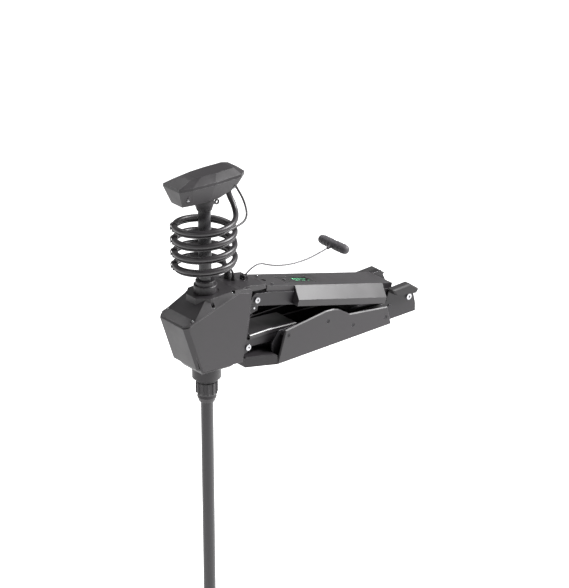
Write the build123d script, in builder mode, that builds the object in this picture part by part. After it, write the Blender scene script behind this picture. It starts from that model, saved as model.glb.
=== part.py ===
"""Bow-mount electric trolling motor, deployed: deck base, folding arm, link, steered head, shaft and lower unit.

Row frame in mm: +Z up, +X inboard along the deck, origin on the base underside at the centre of its deck bolts.
"""
import os
from math import cos, pi, radians, sin, sqrt

from build123d import *

os.makedirs("parts", exist_ok=True)

# Driving dimensions
SHAFT_X = -400.0
SHAFT_R = 17.5
SHAFT_WALL = 3.0
PIVOT_A = (281.7, 51.5)
PIVOT_B = (-267.7, 196.0)
PIVOT_C = (-306.0, 69.0)
PIVOT_D = (208.714, 40.0)
BASE_HALF = 62.0
PANEL_OUT = 85.0
PANEL_T = 5.0
ARM_PLATE_IN = 46.0
ARM_PLATE_OUT = 54.5
COVER_HALF = 50.0
WING_HALF = 78.0
HOUSING_HALF = 62.0
HOUSING_T = 4.5
SLEEVE_R = 24.0
COIL_R = 82.0
CABLE_D = 15.5
THIN_D = 6.0
COIL_BOTTOM = 306.0
COIL_MID = 380.0
COIL_TOP = 454.0
MOTOR_Z = -1010.0
MOTOR_R = 45.0
PROP_R = 140.0

ARM_LEN = sqrt((PIVOT_B[0] - PIVOT_A[0]) ** 2 + (PIVOT_B[1] - PIVOT_A[1]) ** 2)
ARM_E = ((PIVOT_B[0] - PIVOT_A[0]) / ARM_LEN, (PIVOT_B[1] - PIVOT_A[1]) / ARM_LEN)
ARM_PLANE = Plane(origin=(PIVOT_A[0], 0, PIVOT_A[1]), x_dir=(ARM_E[0], 0, ARM_E[1]), z_dir=(0, 1, 0))
ARM_ACROSS = Plane(origin=(PIVOT_A[0], 0, PIVOT_A[1]), x_dir=(0, -1, 0), z_dir=(ARM_E[0], 0, ARM_E[1]))
LINK_LEN = sqrt((PIVOT_C[0] - PIVOT_D[0]) ** 2 + (PIVOT_C[1] - PIVOT_D[1]) ** 2)
LINK_E = ((PIVOT_C[0] - PIVOT_D[0]) / LINK_LEN, (PIVOT_C[1] - PIVOT_D[1]) / LINK_LEN)
LINK_PLANE = Plane(origin=(PIVOT_D[0], 0, PIVOT_D[1]), x_dir=(LINK_E[0], 0, LINK_E[1]), z_dir=(0, 1, 0))
SIDE = Plane(origin=(0, 0, 0), x_dir=(1, 0, 0), z_dir=(0, -1, 0))


# ---- Base: extruded channel with the two pivot ears ----
WALL_LINE = [(-221, 0), (-221, 55), (-197, 86), (-30, 86), (50, 60), (195, 56), (207, 92), (284, 92), (301, 55),
             (309, 23), (309, 0)]
with BuildPart() as base_channel:
    with BuildSketch(SIDE):
        Polygon(*WALL_LINE, align=None)
    extrude(amount=BASE_HALF, both=True)
    with Locations((44, 0, 56)):
        Box(600, 2 * (BASE_HALF - 5), 100, mode=Mode.SUBTRACT)
    with Locations((-180, 38, 0), (-180, -38, 0), (180, 38, 0), (180, -38, 0), (0, 38, 0), (0, -38, 0)):
        Cylinder(3.6, 30, mode=Mode.SUBTRACT)
    with Locations((PIVOT_A[0], 0, PIVOT_A[1])):
        Cylinder(7.0, 200, rotation=(90, 0, 0), mode=Mode.SUBTRACT)
    with Locations((PIVOT_D[0], 0, PIVOT_D[1])):
        Cylinder(5.0, 200, rotation=(90, 0, 0), mode=Mode.SUBTRACT)
    with Locations((-182, 0, 76), (-40, 0, 76), (52, 0, 37.5), (174.5, 0, 26)):
        Cylinder(2.6, 200, rotation=(90, 0, 0), mode=Mode.SUBTRACT)
base_channel.part.label = "base_channel"
export_step(base_channel.part, "parts/base_channel.step")

# ---- Base: hollow nose moulding that overhangs the bow ----
NOSE_PLAN = [(-221, -85), (-250, -70), (-302, -45), (-302, 45), (-250, 70), (-221, 85)]
with BuildPart() as base_nose:
    with BuildSketch(Plane.XY):
        Polygon(*NOSE_PLAN, align=None)
    extrude(amount=30)
    chamfer(base_nose.faces().sort_by(Axis.Z)[-1].edges(), 3)
    with BuildSketch(Plane.XY.offset(-1)):
        Polygon((-226, -77), (-250, -65), (-297, -42), (-297, 42), (-250, 65), (-226, 77), align=None)
    extrude(amount=26, mode=Mode.SUBTRACT)
    with Locations((-262, 0, 13), (-262, 26, 13), (-262, -26, 13)):
        Box(70, 3, 26)
    with Locations((-262, 0, 15)):
        Cylinder(9, 30)
    with Locations((-262, 0, 0)):
        Cylinder(3.6, 90, mode=Mode.SUBTRACT)
base_nose.part.label = "base_nose"
export_step(base_nose.part, "parts/base_nose.step")

# ---- Base: side panels, one moulding each side, stood off on bosses ----
PANEL_LINE = [(-221, 0), (-191, 93), (-44, 109), (-18, 107), (0, 101), (41, 75), (183, 56), (197, 0)]
PANEL_SCREWS = [(-182, 76), (-40, 76), (52, 37.5), (174.5, 26)]
with BuildPart() as side_panels:
    for side in (-1, 1):
        panel_plane = Plane(origin=(0, side * (PANEL_OUT - PANEL_T), 0), x_dir=(1, 0, 0), z_dir=(0, -1, 0))
        with BuildSketch(panel_plane):
            Polygon(*PANEL_LINE, align=None)
        extrude(amount=-side * PANEL_T)
        outer = side_panels.faces().sort_by(Axis.Y)[-1 if side > 0 else 0]
        chamfer([e for e in outer.edges() if e.center().Z > 10], 3)
        with BuildSketch(Plane.XY):
            with Locations((-12, side * (BASE_HALF + PANEL_OUT - PANEL_T) / 2)):
                Rectangle(418, PANEL_OUT - PANEL_T - BASE_HALF)
        extrude(amount=3)
        with Locations(*[(x, side * (BASE_HALF + PANEL_OUT - PANEL_T) / 2, z) for x, z in PANEL_SCREWS]):
            Cylinder(7.0, PANEL_OUT - PANEL_T - BASE_HALF, rotation=(90, 0, 0))
        with Locations(*[(x, side * 70, z) for x, z in PANEL_SCREWS]):
            Cylinder(2.6, 60, rotation=(90, 0, 0), mode=Mode.SUBTRACT)
        with Locations(*[(x, side * (PANEL_OUT - 1.5), z) for x, z in PANEL_SCREWS]):
            Cylinder(6.0, 3.0, rotation=(90, 0, 0), mode=Mode.SUBTRACT)
side_panels.part.label = "side_panels"
export_step(side_panels.part, "parts/side_panels.step")

# ---- Base: socket-head screws that hold the side panels ----
with BuildPart() as panel_screws:
    for side in (-1, 1):
        with Locations(*[(x, side * (PANEL_OUT - 1.9), z) for x, z in PANEL_SCREWS]):
            Cylinder(5.4, 2.2, rotation=(90, 0, 0))
        with Locations(*[(x, side * 69.5, z) for x, z in PANEL_SCREWS]):
            Cylinder(2.5, 26, rotation=(90, 0, 0))
        with Locations(*[(x, side * (PANEL_OUT - 1.3), z) for x, z in PANEL_SCREWS]):
            Cylinder(2.0, 1.4, rotation=(90, 0, 0), mode=Mode.SUBTRACT)
panel_screws.part.label = "panel_screws"
export_step(panel_screws.part, "parts/panel_screws.step")

# ---- Base: rear ramp pads outside the pivot ears ----
with BuildPart() as ramp_pads:
    for side in (-1, 1):
        with BuildSketch(Plane(origin=(0, side * BASE_HALF, 0), x_dir=(1, 0, 0), z_dir=(0, -1, 0))):
            Polygon((202, 99.5), (268, 102), (300, 79), (290, 68), (269, 71), (215, 80), align=None)
        extrude(amount=-side * 23)
        outer = ramp_pads.faces().sort_by(Axis.Y)[-1 if side > 0 else 0]
        chamfer([e for e in outer.edges() if e.center().Z > 85], 4)
ramp_pads.part.label = "ramp_pads"
export_step(ramp_pads.part, "parts/ramp_pads.step")

# ---- Pivot A: two stub pins through the base ears, so the link can pass between them ----
with BuildPart() as pivot_pins_a:
    for side in (-1, 1):
        with Locations((PIVOT_A[0], side * 53.5, PIVOT_A[1])):
            Cylinder(7.0, 17, rotation=(90, 0, 0))
        with Locations((PIVOT_A[0], side * 64, PIVOT_A[1])):
            Cylinder(9.0, 4, rotation=(90, 0, 0))
        with BuildSketch(Plane(origin=(PIVOT_A[0], side * 66, PIVOT_A[1]), x_dir=(1, 0, 0), z_dir=(0, -side, 0))):
            RegularPolygon(4.2, 6)
        extrude(amount=2.5, mode=Mode.SUBTRACT)
pivot_pins_a.part.label = "pivot_pins_a"
export_step(pivot_pins_a.part, "parts/pivot_pins_a.step")

# ---- Pivot D: cross axle of the lower link ----
with BuildPart() as link_axle_d:
    with Locations((PIVOT_D[0], 0, PIVOT_D[1])):
        Cylinder(5.0, 2 * BASE_HALF, rotation=(90, 0, 0))
    with Locations((PIVOT_D[0], BASE_HALF + 1, PIVOT_D[1]), (PIVOT_D[0], -BASE_HALF - 1, PIVOT_D[1])):
        Cylinder(7.0, 2, rotation=(90, 0, 0))
link_axle_d.part.label = "link_axle_d"
export_step(link_axle_d.part, "parts/link_axle_d.step")

# ---- Lift-assist torsion spring, wound round axle D with a straight leg at each end ----
SPRING_R = 9.5
SPRING_WIRE = 1.6
with BuildPart() as assist_spring:
    with BuildLine() as coil_line:
        Helix(4.25, 34, SPRING_R, center=(PIVOT_D[0], -17, PIVOT_D[1]), direction=(0, 1, 0))
    with BuildSketch(Plane(origin=coil_line.line @ 0, z_dir=coil_line.line % 0)):
        Circle(SPRING_WIRE)
    sweep(path=coil_line.line)
    with BuildSketch(Plane(origin=coil_line.line @ 0, z_dir=coil_line.line % 0)):
        Circle(SPRING_WIRE)
    extrude(amount=-32)
    with BuildSketch(Plane(origin=coil_line.line @ 1, z_dir=coil_line.line % 1)):
        Circle(SPRING_WIRE)
    extrude(amount=20)
assist_spring.part.label = "assist_spring"
export_step(assist_spring.part, "parts/assist_spring.step")

# ---- Arm: two side plates joined by cross ties under the cover ----
with BuildPart() as arm_frame:
    with BuildSketch(ARM_PLANE):
        Polygon((0, -15), (110, -16), (440, -16), (ARM_LEN, -17), (ARM_LEN, 17), (520, 22), (40, 22), (0, 15),
                align=None)
        Circle(16)
        with Locations((ARM_LEN, 0)):
            Circle(19)
        with Locations((180, 0), (260, 0), (340, 0)):
            SlotOverall(56, 16, mode=Mode.SUBTRACT)
    extrude(amount=ARM_PLATE_OUT, both=True)
    with BuildSketch(ARM_PLANE):
        with Locations((ARM_LEN / 2, 0)):
            Rectangle(900, 120)
    extrude(amount=ARM_PLATE_IN, both=True, mode=Mode.SUBTRACT)
    with BuildSketch(ARM_PLANE):
        with Locations((90, 18), (300, 18), (490, 18)):
            Rectangle(22, 8)
    extrude(amount=ARM_PLATE_IN, both=True)
    with BuildSketch(ARM_PLANE):
        Circle(10)
        with Locations((ARM_LEN, 0)):
            Circle(9)
    extrude(amount=100, both=True, mode=Mode.SUBTRACT)
arm_frame.part.label = "arm_frame"
export_step(arm_frame.part, "parts/arm_frame.step")

# ---- Arm: plain bushings in the two ends of each side plate ----
with BuildPart() as arm_bushings:
    for side in (-1, 1):
        with BuildSketch(ARM_PLANE.offset(side * ARM_PLATE_IN)):
            Circle(10)
            Circle(7.06, mode=Mode.SUBTRACT)
            with Locations((ARM_LEN, 0)):
                Circle(9)
                Circle(6.06, mode=Mode.SUBTRACT)
        extrude(amount=side * (ARM_PLATE_OUT - ARM_PLATE_IN))
arm_bushings.part.label = "arm_bushings"
export_step(arm_bushings.part, "parts/arm_bushings.step")

# ---- Arm: long cover moulding with a flared wing on each side ----
with BuildPart() as arm_cover:
    with BuildSketch(ARM_ACROSS.offset(64)):
        Polygon((-COVER_HALF, 22.3), (-COVER_HALF, 38), (COVER_HALF, 38), (COVER_HALF, 22.3), align=None)
    extrude(amount=472)
    with BuildSketch(ARM_ACROSS.offset(103)):
        Polygon((-WING_HALF, -13.5), (-WING_HALF, 4.5), (-COVER_HALF, 38), (COVER_HALF, 38), (WING_HALF, 4.5),
                (WING_HALF, -13.5), align=None)
    extrude(amount=333)
    with BuildSketch(ARM_ACROSS.offset(60)):
        Polygon((-COVER_HALF + 3, 0), (-COVER_HALF + 3, 34.6), (COVER_HALF - 3, 34.6), (COVER_HALF - 3, 0),
                align=None)
    extrude(amount=472.6, mode=Mode.SUBTRACT)
    with BuildSketch(ARM_ACROSS.offset(106)):
        Polygon((-WING_HALF + 3, -20), (-WING_HALF + 3, 3.4), (-COVER_HALF + 1, 34.6), (COVER_HALF - 1, 34.6),
                (WING_HALF - 3, 3.4), (WING_HALF - 3, -20), align=None)
    extrude(amount=327, mode=Mode.SUBTRACT)
    with BuildSketch(ARM_ACROSS.offset(100)):
        Polygon((-55.5, -30), (-55.5, 22.3), (55.5, 22.3), (55.5, -30), align=None)
    extrude(amount=340, mode=Mode.SUBTRACT)
    with BuildSketch(ARM_PLANE):
        with Locations((392, 38)):
            Rectangle(117, 5)
    extrude(amount=25.5, both=True, mode=Mode.SUBTRACT)
    with BuildSketch(ARM_PLANE):
        with Locations((372, 35)):
            Rectangle(66, 8)
        with Locations((432, 35)):
            Rectangle(13, 8)
    extrude(amount=15, both=True, mode=Mode.SUBTRACT)
    with BuildSketch(ARM_PLANE):
        with Locations((540, 20)):
            Rectangle(22, 60)
    extrude(amount=14, both=True, mode=Mode.SUBTRACT)
    with BuildSketch(Plane(origin=ARM_PLANE.from_local_coords((505, 0, 0)), x_dir=(0, 1, 0),
                           z_dir=ARM_PLANE.y_dir)):
        with Locations((-34, 0), (34, 0)):
            Circle(2.3)
        with Locations((0, 4)):
            Circle(8)
    extrude(amount=60, mode=Mode.SUBTRACT)
arm_cover.part.label = "arm_cover"
export_step(arm_cover.part, "parts/arm_cover.step")

# ---- Arm: status display set in the cover ----
with BuildPart() as display_bezel:
    with BuildSketch(ARM_PLANE):
        with Locations((392, 36.9)):
            Rectangle(116.4, 2)
    extrude(amount=25.2, both=True)
    with BuildSketch(ARM_PLANE):
        with Locations((372, 37)):
            Rectangle(58, 8)
    extrude(amount=13, both=True, mode=Mode.SUBTRACT)
    with BuildSketch(Plane(origin=ARM_PLANE.from_local_coords((432, 0, 0)), x_dir=(0, 1, 0),
                           z_dir=ARM_PLANE.y_dir)):
        with Locations((0, 0)):
            Circle(5)
    extrude(amount=60, mode=Mode.SUBTRACT)
display_bezel.part.label = "display_bezel"
export_step(display_bezel.part, "parts/display_bezel.step")

# ---- Arm: clear window of the display ----
with BuildPart() as display_window:
    with BuildSketch(ARM_PLANE):
        with Locations((372, 36.7)):
            Rectangle(58, 1.6)
    extrude(amount=13, both=True)
display_window.part.label = "display_window"
export_step(display_window.part, "parts/display_window.step")

# ---- Arm: display circuit board with its lit segments ----
with BuildPart() as display_board:
    with BuildSketch(ARM_PLANE):
        with Locations((372, 32.4)):
            Rectangle(62, 1.6)
    extrude(amount=14, both=True)
    with BuildSketch(ARM_PLANE):
        with Locations((355, 34.4), (372, 34.4), (389, 34.4)):
            Rectangle(11, 2.6)
    extrude(amount=8, both=True)
    with BuildSketch(ARM_PLANE):
        with Locations((372, 30.1)):
            Rectangle(6, 3)
    extrude(amount=10, both=True)
display_board.part.label = "display_board"
export_step(display_board.part, "parts/display_board.step")

# ---- Arm: sprung power button beside the display ----
with BuildPart() as power_button:
    with BuildSketch(Plane(origin=ARM_PLANE.from_local_coords((432, 36.2, 0)), x_dir=(0, 1, 0),
                           z_dir=ARM_PLANE.y_dir)):
        Circle(4.65)
    extrude(amount=3.6)
    fillet(power_button.edges().filter_by(GeomType.CIRCLE).sort_by(SortBy.DISTANCE)[-1:], 0.5)
power_button.part.label = "power_button"
export_step(power_button.part, "parts/power_button.step")

# ---- Arm: screws through the front of the cover into the front tie ----
with BuildPart() as arm_cover_screws:
    screw_plane = Plane(origin=ARM_PLANE.from_local_coords((505, 38, 0)), x_dir=(0, 1, 0), z_dir=ARM_PLANE.y_dir)
    with BuildSketch(screw_plane):
        with Locations((-34, 0), (34, 0)):
            Circle(4.6)
    extrude(amount=2.4)
    with BuildSketch(screw_plane):
        with Locations((-34, 0), (34, 0)):
            Circle(2.2)
    extrude(amount=-12)
    with BuildSketch(screw_plane.offset(2.4)):
        with Locations((-34, 0), (34, 0)):
            RegularPolygon(2.2, 6)
    extrude(amount=-1.4, mode=Mode.SUBTRACT)
arm_cover_screws.part.label = "arm_cover_screws"
export_step(arm_cover_screws.part, "parts/arm_cover_screws.step")

# ---- Arm: keeper pin between the front ends of the side plates, for the latch ----
with BuildPart() as latch_keeper:
    with BuildSketch(ARM_PLANE):
        with Locations((520, -10)):
            Circle(3.5)
    extrude(amount=ARM_PLATE_IN, both=True)
latch_keeper.part.label = "latch_keeper"
export_step(latch_keeper.part, "parts/latch_keeper.step")

# ---- Lower link: two bars with a cross tie at each end ----
with BuildPart() as link_bars:
    with BuildSketch(LINK_PLANE):
        Polygon((0, -9), (60, -10), (430, -12), (LINK_LEN, -10), (LINK_LEN, 10), (430, 14), (60, 10), (0, 9),
                align=None)
        Circle(9)
        with Locations((LINK_LEN, 0)):
            Circle(11)
    extrude(amount=42, both=True)
    with BuildSketch(LINK_PLANE):
        with Locations((LINK_LEN / 2, 0)):
            Rectangle(900, 80)
    extrude(amount=34, both=True, mode=Mode.SUBTRACT)
    with BuildSketch(LINK_PLANE):
        with Locations((120, 0), (400, 0)):
            Rectangle(16, 10)
    extrude(amount=34, both=True)
    with BuildSketch(LINK_PLANE):
        Circle(7)
        with Locations((LINK_LEN, 0)):
            Circle(7)
    extrude(amount=100, both=True, mode=Mode.SUBTRACT)
link_bars.part.label = "link_bars"
export_step(link_bars.part, "parts/link_bars.step")

# ---- Lower link: bushings on axle D, and the pair at C ----
with BuildPart() as link_bushings:
    for side in (-1, 1):
        with BuildSketch(LINK_PLANE.offset(side * 34)):
            Circle(7)
            Circle(5.06, mode=Mode.SUBTRACT)
            with Locations((LINK_LEN, 0)):
                Circle(7)
                Circle(5.06, mode=Mode.SUBTRACT)
        extrude(amount=side * 8)
link_bushings.part.label = "link_bushings"
export_step(link_bushings.part, "parts/link_bushings.step")

# ---- Lower link: trim cover over the front of the bars ----
with BuildPart() as link_cover:
    with BuildSketch(LINK_PLANE):
        Polygon((330, 14.3), (430, 14.3), (495, 11.6), (495, 24), (430, 27), (330, 24), align=None)
    extrude(amount=45, both=True)
    with BuildSketch(LINK_PLANE):
        Polygon((320, 10), (500, 10), (492, 21), (430, 24), (333, 21), align=None)
    extrude(amount=41.5, both=True, mode=Mode.SUBTRACT)
    chamfer([e for e in link_cover.edges() if abs(abs(e.center().Y) - 45) < 0.1 and e.length > 50
             and e.center().Z > 85], 2.5)
    with BuildSketch(LINK_PLANE):
        with Locations((350, 17.2), (470, 17.2)):
            Rectangle(10, 8)
    extrude(amount=41.5, both=True)
    with BuildSketch(LINK_PLANE):
        Polygon((320, -20), (500, -20), (500, 11), (430, 14.05), (320, 14.05), align=None)
    extrude(amount=60, both=True, mode=Mode.SUBTRACT)
link_cover.part.label = "link_cover"
export_step(link_cover.part, "parts/link_cover.step")

# ---- Housing: shell of the steering unit, open at the top along a sloping seam ----
SEAM = ((-516, 180), (-331, 236), (-290, 225))
REAR = ((-301, 164), (-308, 122), (-324, 30))
LATCH_PIN = (-268.0, 168.0)
GUIDE = (-268.0, 246.5)
COVER_SCREWS_X = (-485, -418, -348)


def seam_z(x):
    """Height of the seam over its front, rising part."""
    return SEAM[0][1] + (x - SEAM[0][0]) * (SEAM[1][1] - SEAM[0][1]) / (SEAM[1][0] - SEAM[0][0])


def rear_point(z):
    """Point of the housing's rear wall at a height."""
    upper, lower = (SEAM[2], REAR[0]) if z > REAR[0][1] else (REAR[0], REAR[1]) if z > REAR[1][1] else REAR[1:]
    return (lower[0] + (z - lower[1]) * (upper[0] - lower[0]) / (upper[1] - lower[1]), z)


with BuildPart() as housing_body:
    with BuildSketch(SIDE):
        Polygon(SEAM[0], SEAM[1], SEAM[2], REAR[0], REAR[1], REAR[2], (-464, 43), (-473, 48), align=None)
    extrude(amount=HOUSING_HALF, both=True)
    front = housing_body.faces().sort_by(Axis.X)[0]
    chamfer([e for e in front.edges() if abs((e % 0.5).Y) < 0.5], 12)
    with BuildSketch(SIDE):
        Polygon((-330, 36), (-352, 16), (-446, 22), (-462, 46), align=None)
    extrude(amount=46, both=True)
    chamfer([e for e in housing_body.edges() if abs((e % 0.5).Y) < 0.5 and abs(abs(e.center().Y) - 46) < 0.1
             and e.center().Z < 21], 6)
    with Locations((SHAFT_X, 0, 7)):
        Cylinder(40, 36)
    with BuildSketch(SIDE):
        Polygon((-509, 200), (-332, 250), (-294, 235), (-305.5, 164), (-312.5, 122), (-328, 41), (-461, 49),
                (-468, 52), align=None)
    extrude(amount=HOUSING_HALF - HOUSING_T, both=True, mode=Mode.SUBTRACT)
    with Locations((SHAFT_X, 0, 0)):
        Cylinder(30, 200, mode=Mode.SUBTRACT)
    with Locations((SHAFT_X, 0, 40)):
        Cylinder(34, 48, mode=Mode.SUBTRACT)
    with BuildSketch(SIDE):
        Polygon((-345, 41), (-360, 22), (-440, 27), (-452, 49), align=None)
    extrude(amount=40, both=True, mode=Mode.SUBTRACT)
    with Locations(*[(x, side * 54, seam_z(x) - 12) for x in COVER_SCREWS_X for side in (-1, 1)]):
        Cylinder(5.5, 34)
    with BuildSketch(SIDE):
        Polygon(SEAM[0], SEAM[1], SEAM[2], (-280, 225), (-280, 290), (-530, 290), (-530, 183.5), align=None)
    extrude(amount=70, both=True, mode=Mode.SUBTRACT)
    with Locations(*[(x, side * 54, seam_z(x) - 12) for x in COVER_SCREWS_X for side in (-1, 1)]):
        Cylinder(2.1, 36, mode=Mode.SUBTRACT)
    with Locations((-306, 0, 190)):
        Cylinder(5, 40, rotation=(0, 90, 0), mode=Mode.SUBTRACT)
    for side in (-1, 1):
        with BuildSketch(SIDE.offset(side * 33)):
            Polygon((-295, 90), (-322, 90), (-340, 72), (-353, 50), (-353, 30), (-340, 12), (-295, 12), align=None)
        extrude(amount=side * 10.5, mode=Mode.SUBTRACT)
housing_body.part.label = "housing_body"
export_step(housing_body.part, "parts/housing_body.step")

# ---- Housing: cover with the raised shaft pad and the tail over the arm's front end ----
TAIL_LINE = [(-342, 228), (-336, 243.5), (-290, 243.5), (-236, 233), (-234, 221), (-252, 221.5), (-288, 226.6),
             (-331, 238)]
with BuildPart() as housing_cover:
    with BuildSketch(SIDE):
        Polygon(SEAM[0], SEAM[1], SEAM[2], (-290, 236), (-316, 243.4), (-333, 246), (-432, 237), (-483, 197),
                (-514, 187), align=None)
    extrude(amount=HOUSING_HALF, both=True)
    with BuildSketch(SIDE):
        Polygon((-486, 180), (-478, 192), (-442, 221), (-442, 180), align=None)
    extrude(amount=37, both=True, mode=Mode.SUBTRACT)
    with BuildSketch(Plane(origin=(SEAM[0][0] - 10, 0, seam_z(SEAM[0][0] - 10)), x_dir=(0, 1, 0),
                           z_dir=(SEAM[1][0] - SEAM[0][0], 0, SEAM[1][1] - SEAM[0][1]))):
        Polygon((HOUSING_HALF, 4), (42, 28), (42, 90), (90, 90), (90, 4), align=None)
        Polygon((-HOUSING_HALF, 4), (-42, 28), (-42, 90), (-90, 90), (-90, 4), align=None)
    extrude(amount=240, mode=Mode.SUBTRACT)
    with BuildSketch(Plane.XY.offset(196)):
        with Locations((SHAFT_X, 0)):
            RegularPolygon(54, 8, rotation=22.5)
    extrude(amount=45)
    with Locations((SHAFT_X, 0, 261)):
        Cylinder(36, 40, mode=Mode.SUBTRACT)
    with BuildSketch(SIDE):
        Polygon(*TAIL_LINE, align=None)
    extrude(amount=54, both=True)
    with BuildSketch(SIDE):
        Polygon((GUIDE[0] - 9, 232), (GUIDE[0] - 5, 252), (GUIDE[0] + 5, 252), (GUIDE[0] + 9, 232), align=None)
    extrude(amount=10, both=True)
    with Locations((GUIDE[0], 0, GUIDE[1] + 1)):
        Box(24, 13, 17, mode=Mode.SUBTRACT)
    with Locations((GUIDE[0], 0, GUIDE[1])):
        Cylinder(2.06, 60, rotation=(90, 0, 0), mode=Mode.SUBTRACT)
    with BuildSketch(SIDE):
        Polygon((-530, 100), SEAM[0], SEAM[1], SEAM[2], (-290, 100), align=None)
    extrude(amount=70, both=True, mode=Mode.SUBTRACT)
    with BuildSketch(Plane.XY):
        Polygon((-530, -70), (-492, -70), (-518, -44), (-530, -44), align=None)
        Polygon((-530, 70), (-492, 70), (-518, 44), (-530, 44), align=None)
    extrude(amount=300, mode=Mode.SUBTRACT)
    with Locations((SHAFT_X, 0, 220)):
        Cylinder(30, 80, mode=Mode.SUBTRACT)
    with Locations((-302, 28, 240), (-299, 6, 240)):
        Cylinder(5.5, 60, mode=Mode.SUBTRACT)
    with Locations(*[(x, side * 54, seam_z(x)) for x in COVER_SCREWS_X for side in (-1, 1)]):
        Cylinder(2.1, 60, mode=Mode.SUBTRACT)
    with Locations(*[(x, side * 54, seam_z(x) + 25.2) for x in COVER_SCREWS_X for side in (-1, 1)]):
        Cylinder(5.2, 40, mode=Mode.SUBTRACT)
    with BuildSketch(Plane.XY.offset(260)):
        with Locations((-318, 40), (-318, -40), (-262, 0)):
            Circle(2.4)
    extrude(amount=-100, mode=Mode.SUBTRACT)
housing_cover.part.label = "housing_cover"
export_step(housing_cover.part, "parts/housing_cover.step")

# ---- Housing: screws of the cover, each sunk in a notch in its edge ----
with BuildPart() as housing_screws:
    for x in COVER_SCREWS_X:
        with Locations((x, 54, seam_z(x) + 6.7), (x, -54, seam_z(x) + 6.7)):
            Cylinder(4.4, 3)
        with Locations((x, 54, seam_z(x) - 2), (x, -54, seam_z(x) - 2)):
            Cylinder(2.0, 18)
        with Locations((x, 54, seam_z(x) + 7.6), (x, -54, seam_z(x) + 7.6)):
            Cylinder(2.1, 1.4, mode=Mode.SUBTRACT)
housing_screws.part.label = "housing_screws"
export_step(housing_screws.part, "parts/housing_screws.step")

# ---- Housing: aluminium hinge bracket on the rear wall, with lugs to pivots B and C ----
with BuildPart() as hinge_bracket:
    with BuildSketch(SIDE):
        Polygon(REAR[0], rear_point(205), (-289.6, 204.6), (-297, 164), (-304, 122), (-310, 88), rear_point(88),
                REAR[1], align=None)
    extrude(amount=HOUSING_HALF, both=True)
    with BuildSketch(SIDE):
        Polygon(REAR[0], rear_point(205), (-271, 212), (-254, 203), (-254, 184), (-258, 160), (-300, 150),
                rear_point(150), align=None)
        with Locations(PIVOT_B):
            Circle(16)
    extrude(amount=44.5, both=True)
    with BuildSketch(SIDE):
        Polygon((-240, 240), (-297, 240), (-289.6, 204.6), (-297, 164), (-300, 140), (-240, 140), align=None)
    extrude(amount=34.5, both=True, mode=Mode.SUBTRACT)
    with BuildSketch(SIDE.offset(HOUSING_HALF - 11.5)):
        Polygon(rear_point(95), (-309, 95), (-297, 78), (-297, 60), (-318, 52), rear_point(52), align=None)
        with Locations(PIVOT_C):
            Circle(11)
    extrude(amount=11.5)
    with BuildSketch(SIDE.offset(-HOUSING_HALF)):
        Polygon(rear_point(95), (-309, 95), (-297, 78), (-297, 60), (-318, 52), rear_point(52), align=None)
        with Locations(PIVOT_C):
            Circle(11)
    extrude(amount=11.5)
    with Locations((PIVOT_B[0], 0, PIVOT_B[1])):
        Cylinder(6.0, 200, rotation=(90, 0, 0), mode=Mode.SUBTRACT)
    with Locations((PIVOT_C[0], 0, PIVOT_C[1])):
        Cylinder(5.0, 200, rotation=(90, 0, 0), mode=Mode.SUBTRACT)
    with Locations((LATCH_PIN[0], 0, LATCH_PIN[1])):
        Cylinder(3.0, 200, rotation=(90, 0, 0), mode=Mode.SUBTRACT)
    with Locations((-300, 0, 190)):
        Cylinder(5, 40, rotation=(0, 90, 0), mode=Mode.SUBTRACT)
hinge_bracket.part.label = "hinge_bracket"
export_step(hinge_bracket.part, "parts/hinge_bracket.step")

# ---- Pivots B and C: shoulder bolts in the bracket lugs, and the latch's cross pin ----
with BuildPart() as bracket_bolts:
    for side in (-1, 1):
        with Locations((PIVOT_B[0], side * 45.0, PIVOT_B[1])):
            Cylinder(6.0, 20, rotation=(90, 0, 0))
        with Locations((PIVOT_C[0], side * (HOUSING_HALF - 5.75), PIVOT_C[1])):
            Cylinder(5.0, 11.5, rotation=(90, 0, 0))
        for (x, z), y in ((PIVOT_B, 55), (PIVOT_C, HOUSING_HALF)):
            with Locations((x, side * (y + 2), z)):
                Cylinder(8.3, 4, rotation=(90, 0, 0))
            with BuildSketch(Plane(origin=(x, side * (y + 4), z), x_dir=(1, 0, 0), z_dir=(0, -side, 0))):
                RegularPolygon(4, 6)
            extrude(amount=2.5, mode=Mode.SUBTRACT)
    with Locations((LATCH_PIN[0], 0, LATCH_PIN[1])):
        Cylinder(3.0, 89, rotation=(90, 0, 0))
bracket_bolts.part.label = "bracket_bolts"
export_step(bracket_bolts.part, "parts/bracket_bolts.step")

# ---- Housing: plain bearings that carry the steered sleeve ----
with BuildPart() as sleeve_bearings:
    with Locations((SHAFT_X, 0, 3)):
        Cylinder(30, 26)
    with Locations((SHAFT_X, 0, 231)):
        Cylinder(30, 20)
    with Locations((SHAFT_X, 0, 120)):
        Cylinder(SLEEVE_R + 0.05, 300, mode=Mode.SUBTRACT)
sleeve_bearings.part.label = "sleeve_bearings"
export_step(sleeve_bearings.part, "parts/sleeve_bearings.step")

# ---- Housing: steering motor on its mounting plate, with its output shaft ----
PINION_X = SHAFT_X - 48.0
with BuildPart() as steering_motor:
    with Locations((PINION_X - 6, 0, 109)):
        Cylinder(19, 70)
    with Locations((PINION_X, 0, 149)):
        Cylinder(3.0, 60)
    with Locations((PINION_X - 8, 0, 146)):
        Box(52, 2 * (HOUSING_HALF - HOUSING_T), 4)
    with Locations((SHAFT_X, 0, 146)):
        Cylinder(SLEEVE_R + 4, 30, mode=Mode.SUBTRACT)
steering_motor.part.label = "steering_motor"
export_step(steering_motor.part, "parts/steering_motor.step")

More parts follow.
